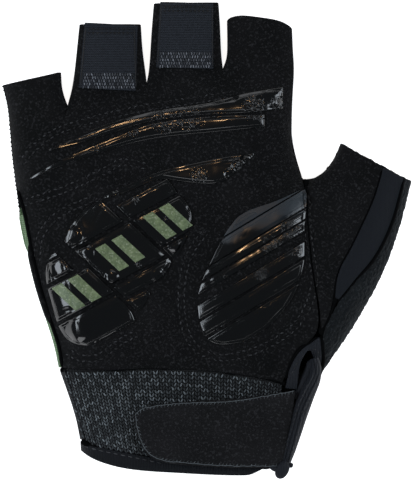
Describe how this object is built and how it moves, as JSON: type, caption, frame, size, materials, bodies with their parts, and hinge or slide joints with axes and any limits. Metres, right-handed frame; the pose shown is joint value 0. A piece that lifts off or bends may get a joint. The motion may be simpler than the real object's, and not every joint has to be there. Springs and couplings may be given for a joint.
{
  "type": "fingerless cycling glove",
  "caption": "Fingerless cycling glove for the right hand, palm up, with padded palm, glossy grip stripes, knit cuff and closing strap.",
  "frame": {"origin": "middle of the glove's outline on the plane that the back of the hand rests on", "axes": "+Y towards the fingers, +X towards the thumb, +Z out of the palm"},
  "size_m": [0.1438, 0.167, 0.0246],
  "materials": {
    "palm_leather": "napped suede-like",
    "green_back_knit": "fine knit",
    "black_stretch": "smooth stretch knit",
    "slate_strip": "fine knit",
    "thumb_fleece": "fleecy",
    "heather_cuff_knit": "heather ribbed knit",
    "navy_tape": "woven tape",
    "pull_tab_weave": "woven tape",
    "grip_gloss": "glossy silicone",
    "olive_print": "satin print"
  },
  "bodies": {
    "root": {"palm_panel": "palm_leather", "thumb_palm": "palm_leather", "strap": "palm_leather", "back_hand": "green_back_knit", "back_fingers": "black_stretch", "cuff_back": "black_stretch", "thumb_strip": "black_stretch", "side_strip_little_ring": "slate_strip", "side_strip_ring_middle": "slate_strip", "side_strip_middle_index": "slate_strip", "side_strip_index_thumb": "slate_strip", "thumb_back": "thumb_fleece", "cuff_knit": "heather_cuff_knit", "cuff_binding": "navy_tape", "slit_binding": "navy_tape", "closure_tape": "navy_tape", "pull_tab_ring": "pull_tab_weave", "pull_tab_middle": "pull_tab_weave", "knuckle_grip_1": "grip_gloss", "knuckle_grip_2": "grip_gloss", "knuckle_grip_3": "grip_gloss", "thumb_grip_1": "grip_gloss", "thumb_grip_2": "grip_gloss", "thumb_grip_3": "grip_gloss", "thumb_grip_4": "grip_gloss", "thumb_grip_5": "grip_gloss", "thumb_grip_6": "grip_gloss", "thumb_grip_7": "grip_gloss", "heel_grip_1": "grip_gloss", "heel_grip_2": "grip_gloss", "heel_grip_3": "grip_gloss", "heel_grip_4": "grip_gloss", "heel_grip_5": "grip_gloss", "heel_grip_6": "grip_gloss", "heel_grip_7": "grip_gloss", "heel_grip_8": "grip_gloss", "heel_grip_9": "grip_gloss", "heel_grip_10": "grip_gloss", "heel_grip_11": "grip_gloss", "mark_1a": "olive_print", "mark_1b": "olive_print", "mark_2a": "olive_print", "mark_2b": "olive_print", "mark_3a": "olive_print", "mark_3b": "olive_print"}
  },
  "joints": []
}
